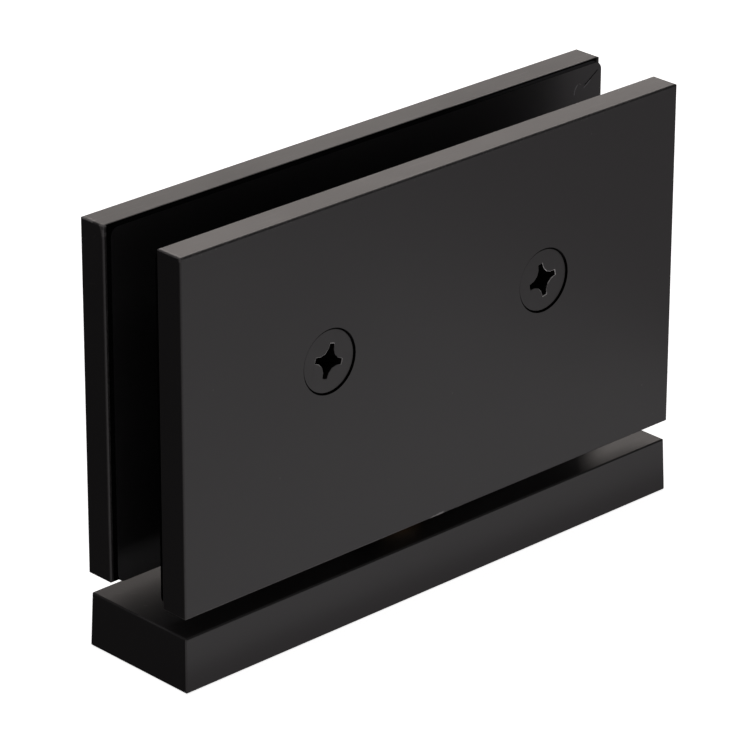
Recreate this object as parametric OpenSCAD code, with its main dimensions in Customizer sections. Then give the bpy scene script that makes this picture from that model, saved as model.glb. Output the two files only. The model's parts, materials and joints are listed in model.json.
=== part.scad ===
// Self-centring pivot hinge for a frameless glass shower door.
// Two plates clamp the glass above a hinge block that turns on a pin keyed into the base bar.
// Origin: underside of the base bar on the pivot axis. X runs along the hinge, the front faces -Y.

/* [Clamp plates] */
// Length of each clamp plate
plate_l = 127; // [105:0.5:160]
// Height of each clamp plate
plate_h = 71; // [59:0.5:95]
// Thickness of each clamp plate
plate_t = 6.3; // [5.2:0.1:8]
// Radius that breaks the edges of the plates and the block
edge_r = 0.4; // [0.2:0.1:0.8]

/* [Glass and gaskets] */
// Thickness of the glass
glass_t = 12; // [10:0.5:15]
// Thickness of each gasket
gasket_t = 1.2; // [1:0.1:2]
// How far a gasket stays inside the plate's ends
gasket_inset = 0.7; // [0.2:0.1:1.5]
// How far a gasket stays inside the plate's lower edge, and the back one inside the upper edge too
gasket_drop = 0.25; // [0.1:0.05:1]
// How far the front gasket stays below the plate's upper edge, where it is out of sight
front_gasket_drop = 0.8; // [0.1:0.05:2]
// Radius of a gasket's outer corners
gasket_corner_r = 1.8; // [1:0.2:4]
// Radius of the upper corners of the notch that glass and gaskets have
notch_r = 8; // [4:1:10]
// Room in the notch beside the screw sleeves and the block
notch_clear = 1.75; // [1:0.25:3]

/* [Base bar] */
// Length of the base bar
base_l = 127; // [105:0.5:160]
// Width of the base bar
base_w = 27; // [23:0.5:35]
// Height of the base bar
base_h = 11; // [9.5:0.5:14]
// Chamfer along every edge of the base bar
base_chamfer = 0.25; // [0.2:0.1:0.8]
// How far each side of the base bar leans outwards from its top to its underside
base_draft = 0.35; // [0:0.05:0.8]
// Gap between the base bar and the plates
leaf_clear = 4; // [3:0.25:5]
// Distance from the bar's end to its outer anchor hole
anchor_edge = 13.5; // [9:0.5:18]
// Distance between the two anchor holes at one end
anchor_step = 20; // [13:1:22]
// Diameter of an anchor hole
anchor_d = 5.2; // [4:0.1:6]
// Diameter of an anchor hole's countersink
anchor_head_d = 9.8; // [8:0.1:11]

/* [Clamp screws] */
// Distance between the two clamp screws
screw_spacing = 55.5; // [46:0.5:67]
// Height of the clamp screws above the plates' lower edge
screw_height = 40.5; // [38:0.5:48]
// Thread diameter of a clamp screw
clamp_d = 6; // [5:1:6]
// Diameter of a clamp screw's flat head
clamp_head_d = 12.5; // [11:0.1:13]
// Height of the rim of a clamp screw's head
clamp_rim = 0.45; // [0.15:0.05:0.6]
// How far the head sits below the plate's face
head_sink = 0.1; // [0.05:0.05:0.5]
// Gap between the head's rim and the straight wall round it
rim_gap = 0.25; // [0.1:0.05:0.4]
// Turn of the left screw's cross recess
left_turn = -17; // [-45:1:45]
// Turn of the right screw's cross recess
right_turn = 11; // [-45:1:45]
// Wall of the nylon sleeve round a clamp screw
sleeve_wall = 1.35; // [1:0.05:2]

/* [Pivot] */
// Diameter of the pivot pin
pin_d = 8; // [6.6:0.2:9.6]
// Turn away from closed within which the plungers centre the door
centring_angle = 25; // [15:1:30]
// Diameter of the pin's spigot in the base bar
spigot_d = 12; // [11.4:0.2:14]
// Distance across the two flats of the spigot
spigot_flats = 10; // [9.6:0.2:11]
// Thickness of the base bar under the spigot
web_h = 4.5; // [4:0.25:5.5]
// Wall of the acetal bushes
bush_wall = 0.75; // [0.6:0.05:1]
// Length of a bush inside the block
bush_l = 8.5; // [7:0.25:9]
// Thickness of a bush's flange
flange_t = 1; // [0.8:0.1:1.2]
// Diameter of a bush's flange
flange_d = 12.4; // [11.8:0.1:13]
// Thickness of the bronze thrust washer
thrust_t = 1.2; // [1:0.1:1.6]
// Diameter of the bronze thrust washer
thrust_d = 14; // [13:0.5:16]
// Thickness of the retaining washer
retainer_t = 1.5; // [1:0.25:2]
// Diameter of the retaining washer
retainer_d = 12.4; // [11:0.1:13]
// Thread diameter of the screw beneath the pin
pin_screw_d = 5; // [4:1:5]
// Thread diameter of the screw on top of the pin
top_screw_d = 4; // [3:1:4]

/* [Hinge block] */
// Length of the hinge block
block_l = 60; // [50:1:72]
// Height of the hinge block
block_h = 28; // [26:0.5:32]
// Gap between the block and the front plate
block_gap = 0.6; // [0.4:0.1:1]
// Thread diameter of a block screw
block_screw_d = 4; // [3:1:4]
// Distance from the block's end to its screws
block_screw_edge = 10; // [9:0.5:11]
// Distance from the block's top and bottom to its screws
block_screw_rim = 4.6; // [4.4:0.1:5]

/* [Centring mechanism] */
// Diameter of a plunger
plunger_d = 8; // [7:0.5:9]
// Length of a plunger's body
plunger_l = 8; // [7:0.5:9]
// Thread diameter of a spring plug
plug_d = 10; // [9:0.5:11]
// Length of a spring plug
plug_l = 6; // [4:0.5:7]
// How far a plug sits inside the block's end
plug_sink = 0.5; // [0.2:0.1:1]
// Wire diameter of a spring
wire_d = 1.2; // [0.8:0.1:1.4]
// Pitch of a spring's open coils
spring_pitch = 2.1; // [1.8:0.1:3]

/* [Clearances] */
// Radial gap of a pin or plunger that runs in its bore
run_gap = 0.04; // [0.02:0.01:0.08]
// Gap between faces that turn past each other
face_gap = 0.05; // [0.03:0.01:0.1]
// Gap between a fixed piece and its seat
seat_gap = 0.02; // [0.01:0.01:0.05]
// Radial gap between a screw's shank and a plain hole
hole_gap = 0.3; // [0.2:0.05:0.5]

/* [Hidden] */
$fn = 96;

// Heights of the stack from the base bar upwards
leaf_z = base_h + leaf_clear;
bush_z = base_h + thrust_t + face_gap;
block_z = bush_z + flange_t;
block_top = block_z + block_h;
pin_top = block_top + flange_t + face_gap;
bore_z = block_z + block_h / 2;
screw_z = leaf_z + screw_height;

// Depths from the middle of the glass
gap_half = glass_t / 2 + gasket_t;
stack_half = gap_half + plate_t;
block_t = 2 * gap_half - block_gap;

// Screws: every flat head has a rim with a rounded edge and a 90 degree cone
small_rim = 0.12;
rim_rounding = 0.75;
clamp_r = clamp_d / 2;
clamp_head_r = clamp_head_d / 2;
screw_x = screw_spacing / 2;
blind_skin = 1.2;
tip_room = 0.5;
block_head_r = 0.93 * block_screw_d;
block_head_sink = 0.15;
block_thread = 3.2;
pin_head_r = 1.04 * pin_screw_d;
pin_head_sink = 0.3;
pin_screw_l = 16;
top_screw_l = 10;
top_head_r = 0.95 * top_screw_d;
top_head_h = 0.55 * top_screw_d;

// Sleeves and the notch that holds them
sleeve_bore_r = clamp_r + 0.15;
sleeve_r = sleeve_bore_r + sleeve_wall;
notch_half = max(screw_x + sleeve_r, block_l / 2) + notch_clear;
notch_top = screw_height + sleeve_r + notch_clear;

// Pivot
pin_r = pin_d / 2;
bush_bore_r = pin_r + run_gap;
bush_r = bush_bore_r + bush_wall;
block_bore_r = bush_r + seat_gap;
cam_flat = pin_r * cos(centring_angle);
cam_h = plunger_d + 1.4;

// Plungers, springs and plugs along the cross bore
plunger_r = plunger_d / 2;
cross_bore_r = plunger_r + run_gap;
plunger_x = pin_r + seat_gap;
plunger_back = plunger_x + plunger_l;
guide_r = plunger_r - wire_d - 0.6;
guide_l = 3;
plug_x = block_l / 2 - plug_sink - plug_l;
spring_l = plug_x - plunger_back - 2 * seat_gap;
spring_r = cross_bore_r - 0.25 - wire_d / 2;

// Rectangle with rounded corners, centred, made of exact arcs
module rounded_rect(w, h, r) {
    square([w - 2 * r, h], center = true);
    square([w, h - 2 * r], center = true);
    for (x = [-1, 1], y = [-1, 1])
        translate([x * (w / 2 - r), y * (h / 2 - r)]) circle(r, $fn = 32);
}

// Block centred on the origin with every edge rounded
module rounded_block(size, r) {
    intersection() {
        translate([0, 0, -size.z / 2]) linear_extrude(size.z) rounded_rect(size.x, size.y, r);
        rotate([90, 0, 0]) translate([0, 0, -size.y / 2])
            linear_extrude(size.y) rounded_rect(size.x, size.z, r);
        rotate([90, 0, 90]) translate([0, 0, -size.x / 2])
            linear_extrude(size.x) rounded_rect(size.y, size.z, r);
    }
}

// Outline of the bar from one end or one side, for its size at the underside
module bar_outline(size) {
    half = size / 2;
    lean = base_draft * base_chamfer / base_h;
    side = [
        [half - base_chamfer, 0],
        [half - lean, base_chamfer],
        [half - base_draft + lean, base_h - base_chamfer],
        [half - base_draft - base_chamfer, base_h]
    ];
    polygon(concat(side, [for (i = [3:-1:0]) [-side[i].x, side[i].y]]));
}

// Outline along a diagonal, which cuts the bar's upright edges
module bar_diagonal() {
    half = ((base_l + base_w) / 2 - base_chamfer) / sqrt(2);
    top_half = half - base_draft * sqrt(2);
    polygon([[-half, 0], [half, 0], [top_half, base_h], [-top_half, base_h]]);
}

// Base bar with sides that lean outwards to its underside, chamfered along every edge
module bar_blank() {
    intersection() {
        rotate([90, 0, 0]) linear_extrude(base_w, center = true) bar_outline(base_l);
        rotate([90, 0, 90]) linear_extrude(base_l, center = true) bar_outline(base_w);
        rotate([90, 0, 45]) linear_extrude(2 * base_l, center = true) bar_diagonal();
        rotate([90, 0, -45]) linear_extrude(2 * base_l, center = true) bar_diagonal();
    }
}

// Clamp plate between two depths, standing on the leaf's lower edge
module plate_blank(y_near, y_far) {
    translate([0, (y_near + y_far) / 2, leaf_z + plate_h / 2])
        rounded_block([plate_l, y_far - y_near, plate_h], edge_r);
}

// Places its children with their +Z turned to the front, at a point of the leaf
module facing_front(x, y, z) {
    translate([x, y, z]) rotate([90, 0, 0]) children();
}

// Cross recess with four wings that narrow outwards and downwards, cut from the plane z = 0
module cross_recess(r, turn) {
    depth = 1.1 * r;
    tip = 0.07 * r;
    waist = [0.66 * r, 0.17 * r];
    root = 0.36 * r;
    quarter = [[waist.x, -waist.y], [r + 0.5, -tip], [r + 0.5, tip], waist, [root, root]];
    outline = [
        for (q = [0:3], p = quarter)
            [p.x * cos(90 * q) - p.y * sin(90 * q), p.x * sin(90 * q) + p.y * cos(90 * q)]
    ];
    rotate([0, 0, turn]) intersection() {
        translate([0, 0, -depth]) cylinder(h = depth + 0.1, r1 = 0.45 * r, r2 = r);
        translate([0, 0, -depth]) linear_extrude(depth + 1) polygon(outline);
    }
}

// Disc hanging from z = 0 with a rounded upper edge
module rounded_disc(r, h, edge) {
    translate([0, 0, -h]) rotate_extrude() {
        square([r - edge, h]);
        square([r, h - edge]);
        translate([r - edge, h - edge]) circle(edge, $fn = 32);
    }
}

// Flat-head screw hanging from the plane of its head's top, which is z = 0
module flat_head_screw(thread_r, head_r, length, recess_r, turn = 0, rim = small_rim) {
    tip = 0.25 * thread_r;
    difference() {
        union() {
            rounded_disc(head_r, rim, rim_rounding * rim);
            translate([0, 0, thread_r - head_r - rim])
                cylinder(h = head_r - thread_r, r1 = thread_r, r2 = head_r);
            translate([0, 0, tip - length]) cylinder(h = length - tip - rim, r = thread_r);
            translate([0, 0, -length]) cylinder(h = tip, r1 = thread_r - tip, r2 = thread_r);
        }
        cross_recess(recess_r, turn);
    }
}

// Radius at the face of the cone that seats a flat head at a depth below the face
function countersink_r(head_r, sink, rim = small_rim) = head_r + sink + rim;

// Plain hole from z = 0 down to z = -depth, with a 90 degree countersink that is cone_r wide at z = 0
// unless a straight wall of radius wall_r stops it
module countersunk_hole(hole_r, cone_r, depth, wall_r = undef) {
    mouth_r = is_undef(wall_r) ? cone_r : wall_r;
    translate([0, 0, -depth - 0.1]) cylinder(h = depth + 0.2, r = hole_r);
    translate([0, 0, hole_r - cone_r]) cylinder(h = mouth_r - hole_r, r1 = hole_r, r2 = mouth_r);
    translate([0, 0, mouth_r - cone_r]) cylinder(h = cone_r - mouth_r + 1, r = mouth_r);
}

// Flanged bush standing on its flange
module flanged_bush() {
    difference() {
        union() {
            cylinder(h = flange_t, r = flange_d / 2);
            cylinder(h = flange_t + bush_l, r = bush_r);
        }
        translate([0, 0, -1]) cylinder(h = flange_t + bush_l + 2, r = bush_bore_r);
        translate([0, 0, flange_t + bush_l - 0.3])
            cylinder(h = 0.31, r1 = bush_bore_r, r2 = bush_bore_r + 0.31);
    }
}

// Flat ring standing on z = 0
module ring(outer_r, inner_r, h) {
    difference() {
        cylinder(h = h, r = outer_r);
        translate([0, 0, -1]) cylinder(h = h + 2, r = inner_r);
    }
}

// Double-D outline: a circle cut by two flats
module double_d(r, flats) {
    intersection() {
        circle(r);
        square([2 * r + 1, flats], center = true);
    }
}

module base_plate() {
    color([0.16, 0.155, 0.155]) difference() {
        bar_blank();
        translate([0, 0, web_h])
            linear_extrude(base_h) double_d(spigot_d / 2 + seat_gap, spigot_flats + 2 * seat_gap);
        rotate([180, 0, 0])
            countersunk_hole(pin_screw_d / 2 + 0.1, countersink_r(pin_head_r, pin_head_sink), web_h);
        for (side = [-1, 1], step = [0, 1])
            translate([side * (base_l / 2 - anchor_edge - step * anchor_step), 0, base_h])
                countersunk_hole(anchor_d / 2, anchor_head_d / 2, base_h);
    }
}

module pivot_pin() {
    color([0.62, 0.63, 0.64]) difference() {
        union() {
            translate([0, 0, web_h])
                linear_extrude(base_h - web_h) double_d(spigot_d / 2, spigot_flats);
            translate([0, 0, base_h]) cylinder(h = pin_top - base_h - 0.4, r = pin_r);
            translate([0, 0, pin_top - 0.4]) cylinder(h = 0.4, r1 = pin_r, r2 = pin_r - 0.4);
        }
        // Four cam flats, one for every quarter turn of the door
        for (quarter = [0:3])
            rotate([0, 0, 90 * quarter]) translate([cam_flat, -pin_r, bore_z - cam_h / 2])
                cube([pin_r, pin_d, cam_h]);
        translate([0, 0, web_h - 1])
            cylinder(h = pin_screw_l + 2 - web_h, r = pin_screw_d / 2 + seat_gap);
        translate([0, 0, pin_top - top_screw_l])
            cylinder(h = top_screw_l + 1, r = top_screw_d / 2 + seat_gap);
    }
}

module pin_screw() {
    color([0.55, 0.56, 0.57]) translate([0, 0, pin_head_sink]) rotate([180, 0, 0])
        flat_head_screw(pin_screw_d / 2, pin_head_r, pin_screw_l, 0.56 * pin_screw_d);
}

module thrust_washer() {
    color([0.72, 0.52, 0.26]) translate([0, 0, base_h]) ring(thrust_d / 2, pin_r + 0.2, thrust_t);
}

module retaining_washer() {
    color([0.62, 0.63, 0.64]) translate([0, 0, pin_top])
        ring(retainer_d / 2, top_screw_d / 2 + 0.15, retainer_t);
}

// Button-head screw with a hexagon socket on top of the pin
module retaining_screw() {
    head_z = pin_top + retainer_t;
    color([0.55, 0.56, 0.57]) difference() {
        union() {
            translate([0, 0, head_z]) intersection() {
                cylinder(h = top_head_h, r = top_head_r);
                translate([0, 0, top_head_h - 1.6 * top_head_r]) sphere(1.6 * top_head_r);
            }
            translate([0, 0, pin_top - top_screw_l + retainer_t + 0.5])
                cylinder(h = top_screw_l - 0.4, r = top_screw_d / 2);
        }
        translate([0, 0, head_z + top_head_h - 1.4]) cylinder(h = 2, r = 0.36 * top_screw_d, $fn = 6);
    }
}

module front_plate() {
    color([0.2, 0.195, 0.195]) difference() {
        plate_blank(-stack_half, -gap_half);
        cone_r = countersink_r(clamp_head_r, head_sink, clamp_rim);
        for (side = [-1, 1]) facing_front(side * screw_x, -stack_half, screw_z)
            countersunk_hole(clamp_r + hole_gap, cone_r, plate_t, clamp_head_r + rim_gap);
    }
}

module back_plate() {
    color([0.2, 0.195, 0.195]) difference() {
        plate_blank(gap_half, stack_half);
        for (side = [-1, 1]) facing_front(side * screw_x, stack_half - blind_skin, screw_z)
            cylinder(h = plate_t, r = clamp_r + seat_gap);
        block_screw_places(gap_half + block_thread + tip_room)
            cylinder(h = plate_t, r = block_screw_d / 2 + seat_gap);
    }
}

// Repeats its children at the block's four screws, at one depth
module block_screw_places(y) {
    for (side = [-1, 1], level = [-1, 1]) block_screw_place(side, level, y) children();
}

// One of the block's screw places: side -1 is left and level -1 is low
module block_screw_place(side, level, y) {
    facing_front(side * (block_l / 2 - block_screw_edge), y,
        bore_z + level * (block_h / 2 - block_screw_rim)) children();
}

// Gasket outline in X and Z, with the notch that the glass has too
module gasket_outline(upper_drop) {
    h = plate_h - gasket_drop - upper_drop;
    difference() {
        translate([0, leaf_z + gasket_drop + h / 2])
            rounded_rect(plate_l - 2 * gasket_inset, h, gasket_corner_r);
        translate([-notch_half, leaf_z - 1]) square([2 * notch_half, notch_top - notch_r + 1]);
        translate([-notch_half + notch_r, leaf_z - 1])
            square([2 * (notch_half - notch_r), notch_top + 1]);
        for (side = [-1, 1])
            translate([side * (notch_half - notch_r), leaf_z + notch_top - notch_r]) circle(notch_r);
    }
}

module front_gasket() {
    color([0.09, 0.09, 0.09]) translate([0, gasket_t - gap_half, 0]) rotate([90, 0, 0])
        linear_extrude(gasket_t) gasket_outline(front_gasket_drop);
}

module back_gasket() {
    color([0.09, 0.09, 0.09]) translate([0, gap_half, 0]) rotate([90, 0, 0])
        linear_extrude(gasket_t) gasket_outline(gasket_drop);
}

module hinge_block() {
    front_y = gap_half - block_t;
    color([0.13, 0.13, 0.13]) difference() {
        translate([0, gap_half - block_t / 2, bore_z])
            rounded_block([block_l, block_t, block_h], edge_r);
        // Bore for the pin and its bushes
        translate([0, 0, block_z - 1]) cylinder(h = block_h + 2, r = block_bore_r);
        // Cross bore for the plungers, tapped at its ends for the plugs
        translate([-block_l / 2 - 1, 0, bore_z]) rotate([0, 90, 0])
            cylinder(h = block_l + 2, r = cross_bore_r);
        for (side = [-1, 1])
            translate([side * (plug_x - 0.5), 0, bore_z]) rotate([0, side * 90, 0])
                cylinder(h = block_l, r = plug_d / 2 + seat_gap);
        block_screw_places(front_y)
            countersunk_hole(block_screw_d / 2 + 0.2,
                countersink_r(block_head_r, block_head_sink), block_t);
    }
}

module lower_bush() {
    color([0.86, 0.85, 0.8]) translate([0, 0, bush_z]) flanged_bush();
}

module upper_bush() {
    color([0.86, 0.85, 0.8]) translate([0, 0, block_top + flange_t]) rotate([180, 0, 0]) flanged_bush();
}

// Clamp screw through the front plate and the notch into the back plate
module clamp_screw(side, turn) {
    length = 2 * stack_half - head_sink - blind_skin - tip_room;
    color([0.19, 0.19, 0.19]) facing_front(side * screw_x, head_sink - stack_half, screw_z)
        flat_head_screw(clamp_r, clamp_head_r, length, 0.556 * clamp_head_r, turn, clamp_rim);
}

module clamp_screw_left() {
    clamp_screw(-1, left_turn);
}

module clamp_screw_right() {
    clamp_screw(1, right_turn);
}

// Nylon sleeve round a clamp screw where it crosses the notch
module screw_sleeve(side) {
    color([0.88, 0.88, 0.85]) facing_front(side * screw_x, gap_half - seat_gap, screw_z)
        ring(sleeve_r, sleeve_bore_r, 2 * (gap_half - seat_gap));
}

module screw_sleeve_left() {
    screw_sleeve(-1);
}

module screw_sleeve_right() {
    screw_sleeve(1);
}

// Screw that holds the block to the back plate
module block_screw(side, level) {
    color([0.55, 0.56, 0.57]) block_screw_place(side, level, gap_half - block_t + block_head_sink)
        flat_head_screw(block_screw_d / 2, block_head_r, block_t + block_thread - block_head_sink,
            0.55 * block_head_r, 20);
}

module block_screw_lower_left() {
    block_screw(-1, -1);
}

module block_screw_lower_right() {
    block_screw(1, -1);
}

module block_screw_upper_left() {
    block_screw(-1, 1);
}

module block_screw_upper_right() {
    block_screw(1, 1);
}

// Turns its children about the pivot so that +Z points out of the left or the right end
module along_bore(side, x) {
    translate([side * x, 0, bore_z]) rotate([0, side * 90, 0]) children();
}

// Plunger with a flat nose and a guide for its spring
module plunger(side) {
    bevel = 0.3;
    color([0.6, 0.61, 0.62]) along_bore(side, plunger_x) {
        cylinder(h = bevel, r1 = plunger_r - bevel, r2 = plunger_r);
        translate([0, 0, bevel]) cylinder(h = plunger_l - bevel, r = plunger_r);
        translate([0, 0, plunger_l]) cylinder(h = guide_l, r = guide_r);
    }
}

module plunger_left() {
    plunger(-1);
}

module plunger_right() {
    plunger(1);
}

// Number of open coils, and how far the wire has climbed after some turns: each end has one closed coil
closed_pitch = wire_d + 0.05;
open_coils = (spring_l - wire_d - 2 * closed_pitch) / spring_pitch;
function climb(turns) =
    turns < 1 ? closed_pitch * turns
    : turns < 1 + open_coils ? closed_pitch + spring_pitch * (turns - 1)
    : closed_pitch + spring_pitch * open_coils + closed_pitch * (turns - 1 - open_coils);

// Compression spring along +Z: rings of points round the wire, joined into a closed tube
module compression_spring() {
    sides = 10;
    rings = ceil((open_coils + 2) * 20);
    points = [
        for (i = [0:rings], j = [0:sides - 1])
            let (
                turns = (open_coils + 2) * i / rings,
                reach = spring_r + wire_d / 2 * cos(360 * j / sides),
                height = wire_d / 2 + climb(turns) + wire_d / 2 * sin(360 * j / sides)
            )
            [reach * cos(360 * turns), reach * sin(360 * turns), height]
    ];
    walls = [
        for (i = [0:rings - 1], j = [0:sides - 1])
            let (next = (j + 1) % sides)
            [i * sides + j, i * sides + next, (i + 1) * sides + next, (i + 1) * sides + j]
    ];
    start_cap = [for (j = [sides - 1:-1:0]) j];
    end_cap = [for (j = [0:sides - 1]) rings * sides + j];
    polyhedron(points, concat(walls, [start_cap, end_cap]), convexity = 10);
}

module spring(side) {
    color([0.7, 0.71, 0.72]) along_bore(side, plunger_back + seat_gap) compression_spring();
}

module spring_left() {
    spring(-1);
}

module spring_right() {
    spring(1);
}

// Threaded plug with a hexagon socket, which sets the spring's force
module spring_plug(side) {
    bevel = 0.5;
    color([0.3, 0.3, 0.31]) along_bore(side, plug_x) difference() {
        union() {
            cylinder(h = bevel, r1 = plug_d / 2 - bevel, r2 = plug_d / 2);
            translate([0, 0, bevel]) cylinder(h = plug_l - 2 * bevel, r = plug_d / 2);
            translate([0, 0, plug_l - bevel])
                cylinder(h = bevel, r1 = plug_d / 2, r2 = plug_d / 2 - bevel);
        }
        translate([0, 0, plug_l / 2]) cylinder(h = plug_l, r = 0.29 * plug_d, $fn = 6);
    }
}

module spring_plug_left() {
    spring_plug(-1);
}

module spring_plug_right() {
    spring_plug(1);
}

base_plate();
pivot_pin();
pin_screw();
thrust_washer();
retaining_washer();
retaining_screw();
front_plate();
back_plate();
front_gasket();
back_gasket();
hinge_block();
lower_bush();
upper_bush();
clamp_screw_left();
clamp_screw_right();
screw_sleeve_left();
screw_sleeve_right();
block_screw_lower_left();
block_screw_lower_right();
block_screw_upper_left();
block_screw_upper_right();
plunger_left();
plunger_right();
spring_left();
spring_right();
spring_plug_left();
spring_plug_right();
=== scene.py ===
"""Looks of a self-centring pivot hinge for a glass shower door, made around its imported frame."""

import json
import math

import bmesh
import bpy
from bpy.props import FloatProperty, FloatVectorProperty, PointerProperty
from bpy.types import Operator, Panel, PropertyGroup
from mathutils import Matrix, Vector
from mathutils.noise import noise as noise_at


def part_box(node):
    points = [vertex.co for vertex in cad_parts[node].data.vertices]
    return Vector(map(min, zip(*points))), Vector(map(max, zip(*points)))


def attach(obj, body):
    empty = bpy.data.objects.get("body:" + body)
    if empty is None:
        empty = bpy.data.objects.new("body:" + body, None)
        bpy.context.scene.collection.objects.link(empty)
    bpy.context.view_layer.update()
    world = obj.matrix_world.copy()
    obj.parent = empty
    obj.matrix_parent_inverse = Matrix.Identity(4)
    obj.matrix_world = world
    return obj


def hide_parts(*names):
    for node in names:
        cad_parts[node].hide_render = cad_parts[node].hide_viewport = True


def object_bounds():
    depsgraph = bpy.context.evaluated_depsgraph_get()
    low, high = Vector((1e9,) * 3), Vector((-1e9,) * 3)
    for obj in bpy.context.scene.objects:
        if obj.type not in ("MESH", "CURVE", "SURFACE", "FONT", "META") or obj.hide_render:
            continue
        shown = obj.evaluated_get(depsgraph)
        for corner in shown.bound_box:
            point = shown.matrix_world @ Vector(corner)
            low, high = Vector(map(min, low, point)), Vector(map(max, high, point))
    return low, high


bl_info = {
    "name": "Pivot Shower Door Hinge",
    "version": (1, 0, 0),
    "blender": (4, 5, 0),
    "location": "3D View > Sidebar > Door Hinge",
    "description": "Finishes the pieces of a pivot hinge for a glass door and sets them in a plain studio",
    "category": "Object",
}

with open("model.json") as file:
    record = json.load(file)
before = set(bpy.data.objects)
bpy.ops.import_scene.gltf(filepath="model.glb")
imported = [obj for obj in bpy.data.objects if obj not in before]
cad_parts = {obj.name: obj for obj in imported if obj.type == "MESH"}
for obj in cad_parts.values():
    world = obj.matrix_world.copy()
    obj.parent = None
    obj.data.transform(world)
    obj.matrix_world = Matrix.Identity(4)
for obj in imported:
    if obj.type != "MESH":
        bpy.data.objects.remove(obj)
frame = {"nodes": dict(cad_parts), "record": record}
NODES = frame["nodes"]
CAD_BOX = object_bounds()

RECORD = frame["record"]
BODY_OF = {node: body for body, nodes in RECORD["behaviour"]["bodies"].items() for node in nodes}

# Places that the finishes and the studio are measured from
PLATE_LOW, PLATE_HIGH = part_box("back_plate")
GASKET_LOW, GASKET_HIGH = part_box("back_gasket")
OBJECT_CENTRE = (CAD_BOX[0] + CAD_BOX[1]) / 2

# Ways that the heads and outer ends of the screws and plugs face
FRONT = Vector((0.0, -1.0, 0.0))
UP = Vector((0.0, 0.0, 1.0))
DOWN = Vector((0.0, 0.0, -1.0))
LEFT = Vector((-1.0, 0.0, 0.0))
RIGHT = Vector((1.0, 0.0, 0.0))

# Turns of the axes on which turned pieces lie
UNTURNED = (0.0, 0.0, 0.0)
FACING_FRONT = (math.radians(90), 0.0, 0.0)
ALONG_X = (0.0, math.radians(90), 0.0)

MILLIMETRE = 0.001
WHITE = (1.0, 1.0, 1.0)

# Greatest distance of points on one level, of doubled points in a CAD mesh and of points on a cut
SAME_LEVEL = 1e-6
DOUBLE_DISTANCE = 1e-7
CUT_DISTANCE = 1e-8

# Greatest angle between faces that become one, and least angle at which an edge stays sharp
FLAT_ANGLE = math.radians(0.5)
SHARP_ANGLE = math.radians(28)

# Greys of noise that count as its darkest and lightest, in patches and grain and in turned rings
PATCH_RANGE = (0.3, 0.7)
RING_RANGE = (0.2, 0.8)

# Strength of the coat's worn edges and specks, how much its roughness changes in patches and in hairlines,
# and the depth of its waves and grain
EDGE_WEAR = 0.1
SPECK_STRENGTH = 0.1
PATCH_GLOSS = 0.02
HAIRLINE_GLOSS = 0.08
WAVE_DEPTH = 0.00001

# Share of the coat's colour that painted shade leaves, depths over which the painted shade on the plates'
# inner faces fades out and its soft edge sideways
SHADED_SHARE = 0.03
GAP_SHADE_DEPTHS = (0.0001, 0.00025)
GAP_SHADE_EDGE = 0.0002

# Radius that holds a countersink of the front plate, and depths over which its painted shade sets in
COUNTERSINK_REACH = 0.0066
COUNTERSINK_SHADE_DEPTHS = (0.00002, 0.00006)

# Diameter and pitch of each kind of screw's thread, and how far the head and the plain neck reach down
CLAMP_THREAD = (0.006, 0.001, 0.0045)
RETAINING_THREAD = (0.004, 0.0007, 0.0038)
PIN_SCREW_THREAD = (0.005, 0.0008, 0.0038)
BLOCK_THREAD = (0.004, 0.0007, 0.003)
PLUG_THREAD = (0.01, 0.001, 0.001)

# Steps in a turn of a thread, its depth and its gap below the neck in pitches, its chamfered foot in radii
THREAD_STEPS = 32
THREAD_DEPTH = 0.541
THREAD_GAP = 0.1
THREAD_FOOT = 0.25

# Radius that holds a plug's socket
PLUG_SOCKET_REACH = 0.0035

# A clamp screw's rounding at the rim, how much deeper its face lies, its rim's draft and new rounding
HEAD_SINK = (0.0003375, 0.0002, 0.0001, 0.00008)

# How much wider a wing of a clamp screw's recess becomes at its tip, the power by which that grows outwards,
# and the share of its length at which its tip starts
WING_WIDENING = 0.45
WING_POWER = 3
WING_TIP = 0.9

# Share of a head's radius that holds its recess
RECESS_REACH = 0.75

# Bevel along the edge of a recess or socket, greatest height of the burr on it and its lumps in a metre
RECESS_BEVEL = 0.0001
BURR_HEIGHT = 0.00005
BURR_LUMPS = 900.0

# Ways from the centre of a clamp screw to the sides of its recess where the driver has rubbed the burr bare
# and where its bright colour is a painted highlight
WORN_AND_LIT_SIDES = {
    "clamp_screw_left": ((-0.6, 0.6, 0), (0.28, 0, 0)),
    "clamp_screw_right": ((0.9, 0.4, 0), (0.6, -0.8, 0)),
}

# Bevel along the rim of a gasket, and how squarely its skin looks along Y
GASKET_BEVEL = 0.00008
SKIN_FACING = 0.95

# Order of the materials on a gasket and on a screw
SKIN, CUT = 0, 1
RECESS, BURR = 1, 2

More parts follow.
